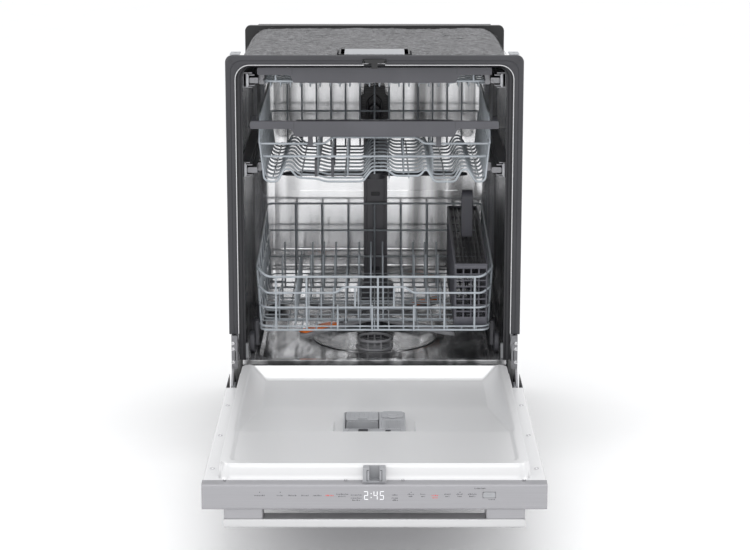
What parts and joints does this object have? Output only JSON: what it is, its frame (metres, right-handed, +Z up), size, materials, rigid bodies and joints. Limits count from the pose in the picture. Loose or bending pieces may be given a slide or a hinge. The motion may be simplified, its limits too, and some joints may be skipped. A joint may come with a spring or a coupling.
{
  "type": "built-in dishwasher",
  "caption": "Built-in dishwasher with an open drop-down door, steel tub, three sliding racks, spray arms, bar handle and hidden base.",
  "frame": {"origin": "centre of the footprint with the door open flat, on the floor under the levelling feet", "axes": "+Z up, +Y into the cabinet, so the door opens towards -Y; +X to the right seen from the front"},
  "size_m": [0.603, 1.312, 0.855],
  "materials": {
    "tub_steel": "bright stainless sheet",
    "door_steel": "brushed stainless sheet",
    "panel_steel": "brushed stainless, fine grain",
    "zinc_steel": "zinc plated sheet",
    "coated_wire": "grey nylon coated wire",
    "dark_plastic": "fine grained dark grey moulding",
    "mid_plastic": "satin grey moulding",
    "light_plastic": "light grey moulding",
    "black_plastic": "black moulding",
    "seal_rubber": "soft black rubber",
    "felt": "mottled recycled fibre felt",
    "bitumen": "bitumen sheet",
    "screw_steel": "bright screw heads",
    "copper_green": "circuit board enclosure"
  },
  "bodies": {
    "cabinet": {"tub_shell": "tub_steel", "tub_back": "tub_steel", "tub_floor": "tub_steel", "insulation_blanket": "felt", "trim_frame": "dark_plastic", "door_gasket": "seal_rubber", "corner_baffles": "light_plastic", "strike_bracket": "zinc_steel", "latch_strike": "black_plastic", "counter_brackets": "zinc_steel", "rear_frame": "black_plastic", "feed_duct": "mid_plastic", "upper_dock": "black_plastic", "sump_body": "black_plastic", "sump_dish": "tub_steel", "spray_hub": "mid_plastic", "circulation_pump": "light_plastic", "drain_pump": "light_plastic", "inlet_valve": "light_plastic", "junction_box": "zinc_steel", "hinge_brackets": "zinc_steel", "door_springs": "zinc_steel", "fixed_rails": "zinc_steel", "base_pan": "black_plastic", "toe_kick": "dark_plastic"},
    "door": {"door_panel": "panel_steel", "door_liner": "door_steel", "door_insulation": "bitumen", "control_panel": "panel_steel", "door_handle": "panel_steel", "hinge_arms": "zinc_steel", "latch_housing": "mid_plastic", "dispenser_body": "mid_plastic", "control_board": "copper_green", "door_screws": "screw_steel"},
    "button": {"start_button": "mid_plastic"},
    "bolt": {"latch_bolt": "light_plastic"},
    "dispenser_lid": {"detergent_lid": "mid_plastic"},
    "rinse_lid": {"rinse_cap": "mid_plastic"},
    "circulation_rotor": {"pump_impeller": "light_plastic"},
    "drain_rotor": {"drain_impeller": "light_plastic"},
    "lower_arm": {"lower_spray_arm": "mid_plastic"},
    "filter": {"filter_cup": "mid_plastic"},
    "left_leg": {"leg_front_left": "zinc_steel"},
    "right_leg": {"leg_front_right": "zinc_steel"},
    "back_legs": {"rear_legs": "zinc_steel"},
    "bottom_rack": {"lower_rack": "coated_wire"},
    "tine_row": {"fold_tines": "coated_wire"},
    "basket": {"cutlery_basket": "mid_plastic"},
    "top_rack": {"upper_rack": "coated_wire", "upper_rack_handle": "mid_plastic", "upper_feed_tube": "dark_plastic"},
    "upper_arm": {"upper_spray_arm": "dark_plastic"},
    "upper_rail_slides": {"upper_slides": "zinc_steel"},
    "cutlery_tray": {"third_rack": "coated_wire"},
    "third_rail_slides": {"third_slides": "zinc_steel"},
    "wheels_1": {"rack_wheels_1": "mid_plastic"},
    "wheels_2": {"rack_wheels_2": "mid_plastic"},
    "wheels_3": {"rack_wheels_3": "mid_plastic"},
    "wheels_4": {"rack_wheels_4": "mid_plastic"}
  },
  "joints": [
    {"name": "door_swing", "type": "hinge", "parent": "cabinet", "child": "door", "pos_m": [0, 0.018, 0.175], "axis": [1, 0, 0], "range_deg": [-90, 0], "deforming": ["door_springs"]},
    {"name": "start_press", "type": "slide", "parent": "door", "child": "button", "axis": [0, 1, 0], "range_m": [0, 0.0012], "stiffness_N_per_m": 600},
    {"name": "latch_travel", "type": "slide", "parent": "door", "child": "bolt", "axis": [-1, 0, 0], "range_m": [0, 0.003], "stiffness_N_per_m": 400},
    {"name": "lid_slide", "type": "slide", "parent": "door", "child": "dispenser_lid", "axis": [0, -1, 0], "range_m": [0, 0.054]},
    {"name": "rinse_cap_tilt", "type": "hinge", "parent": "door", "child": "rinse_lid", "pos_m": [0.034, -0.292, 0.2149], "axis": [-1, 0, 0], "range_deg": [0, 85]},
    {"name": "circulation_rotor_spin", "type": "hinge", "parent": "cabinet", "child": "circulation_rotor", "pos_m": [0.095, 0.386, 0.072], "axis": [1, 0, 0], "continuous": true},
    {"name": "drain_rotor_spin", "type": "hinge", "parent": "cabinet", "child": "drain_rotor", "pos_m": [-0.18, 0.246, 0.066], "axis": [1, 0, 0], "continuous": true},
    {"name": "lower_arm_spin", "type": "hinge", "parent": "cabinet", "child": "lower_arm", "pos_m": [0, 0.342, 0.244], "axis": [0, 0, 1], "continuous": true},
    {"name": "filter_turn", "type": "hinge", "parent": "cabinet", "child": "filter", "pos_m": [0, 0.242, 0.205], "axis": [0, 0, 1], "range_deg": [0, 60]},
    {"name": "left_leg_adjust", "type": "slide", "parent": "cabinet", "child": "left_leg", "axis": [0, 0, -1], "range_m": [0, 0.038]},
    {"name": "right_leg_adjust", "type": "slide", "parent": "cabinet", "child": "right_leg", "axis": [0, 0, -1], "range_m": [0, 0.038]},
    {"name": "back_legs_adjust", "type": "slide", "parent": "cabinet", "child": "back_legs", "axis": [0, 0, -1], "range_m": [0, 0.038]},
    {"name": "lower_rack_slide", "type": "slide", "parent": "cabinet", "child": "bottom_rack", "axis": [0, -1, 0], "range_m": [0, 0.5]},
    {"name": "wheels_1_roll", "type": "hinge", "parent": "bottom_rack", "child": "wheels_1", "pos_m": [0, 0.13, 0.2433], "axis": [1, 0, 0], "range_deg": [0, 1310]},
    {"name": "wheels_2_roll", "type": "hinge", "parent": "bottom_rack", "child": "wheels_2", "pos_m": [0, 0.248, 0.2433], "axis": [1, 0, 0], "range_deg": [0, 1310]},
    {"name": "wheels_3_roll", "type": "hinge", "parent": "bottom_rack", "child": "wheels_3", "pos_m": [0, 0.388, 0.2433], "axis": [1, 0, 0], "range_deg": [0, 1310]},
    {"name": "wheels_4_roll", "type": "hinge", "parent": "bottom_rack", "child": "wheels_4", "pos_m": [0, 0.506, 0.2433], "axis": [1, 0, 0], "range_deg": [0, 1310]},
    {"name": "tine_row_fold", "type": "hinge", "parent": "bottom_rack", "child": "tine_row", "pos_m": [-0.06, 0.316, 0.29], "axis": [0, 1, 0], "range_deg": [0, 88]},
    {"name": "basket_lift", "type": "slide", "parent": "bottom_rack", "child": "basket", "axis": [0, 0, 1], "range_m": [0, 0.025]},
    {"name": "upper_rack_slide", "type": "slide", "parent": "cabinet", "child": "top_rack", "axis": [0, -1, 0], "range_m": [0, 0.44]},
    {"name": "upper_rail_follow", "type": "slide", "parent": "cabinet", "child": "upper_rail_slides", "axis": [0, -1, 0], "range_m": [0, 0.22]},
    {"name": "upper_arm_spin", "type": "hinge", "parent": "top_rack", "child": "upper_arm", "pos_m": [0, 0.318, 0.567], "axis": [0, 0, 1], "continuous": true},
    {"name": "third_rack_slide", "type": "slide", "parent": "cabinet", "child": "cutlery_tray", "axis": [0, -1, 0], "range_m": [0, 0.44]},
    {"name": "third_rail_follow", "type": "slide", "parent": "cabinet", "child": "third_rail_slides", "axis": [0, -1, 0], "range_m": [0, 0.22]}
  ],
  "couplings": [
    {"joint": "wheels_1_roll", "follows": "lower_rack_slide", "rad_per_m": 45.455},
    {"joint": "wheels_2_roll", "follows": "lower_rack_slide", "rad_per_m": 45.455},
    {"joint": "wheels_3_roll", "follows": "lower_rack_slide", "rad_per_m": 45.455},
    {"joint": "wheels_4_roll", "follows": "lower_rack_slide", "rad_per_m": 45.455},
    {"joint": "upper_rail_follow", "follows": "upper_rack_slide", "ratio": 0.5},
    {"joint": "third_rail_follow", "follows": "third_rack_slide", "ratio": 0.5}
  ]
}
